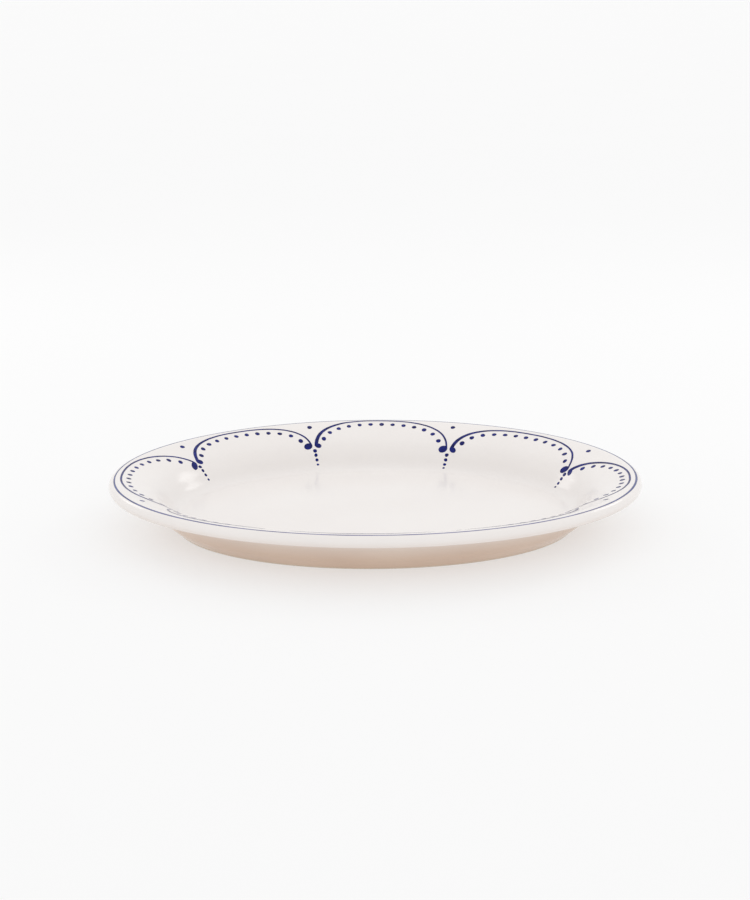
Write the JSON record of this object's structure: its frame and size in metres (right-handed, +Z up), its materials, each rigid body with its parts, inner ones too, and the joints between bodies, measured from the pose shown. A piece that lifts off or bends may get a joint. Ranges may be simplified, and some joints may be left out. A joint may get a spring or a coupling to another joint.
{
  "type": "china serving platter",
  "caption": "Oval china serving platter with a rolled rim, a shallow well, a foot ring, and a hand-painted cobalt rim line and scrolled garlands.",
  "frame": {"origin": "middle of the surface that the foot ring stands on", "axes": "+X along the platter, +Y across it, +Z up out of the well"},
  "size_m": [0.408, 0.31, 0.0421],
  "materials": {
    "bare_clay": "unglazed fired clay, fine matt grain",
    "clear_glaze": "glossy warm white glaze",
    "cobalt_colour": "glossy hand-painted cobalt blue"
  },
  "bodies": {
    "root": {"platter_body": "bare_clay", "glaze_coat": "clear_glaze", "foot_recess_glaze": "clear_glaze", "rim_line": "cobalt_colour", "garland_stroke_1": "cobalt_colour", "garland_dots_1": "cobalt_colour", "pendant_dots_1": "cobalt_colour", "garland_stroke_2": "cobalt_colour", "garland_dots_2": "cobalt_colour", "pendant_dots_2": "cobalt_colour", "garland_stroke_3": "cobalt_colour", "garland_dots_3": "cobalt_colour", "pendant_dots_3": "cobalt_colour", "garland_stroke_4": "cobalt_colour", "garland_dots_4": "cobalt_colour", "pendant_dots_4": "cobalt_colour", "garland_stroke_5": "cobalt_colour", "garland_dots_5": "cobalt_colour", "pendant_dots_5": "cobalt_colour", "garland_stroke_6": "cobalt_colour", "garland_dots_6": "cobalt_colour", "pendant_dots_6": "cobalt_colour", "garland_stroke_7": "cobalt_colour", "garland_dots_7": "cobalt_colour", "pendant_dots_7": "cobalt_colour", "garland_stroke_8": "cobalt_colour", "garland_dots_8": "cobalt_colour", "pendant_dots_8": "cobalt_colour", "spacer_dots": "cobalt_colour"}
  },
  "joints": []
}
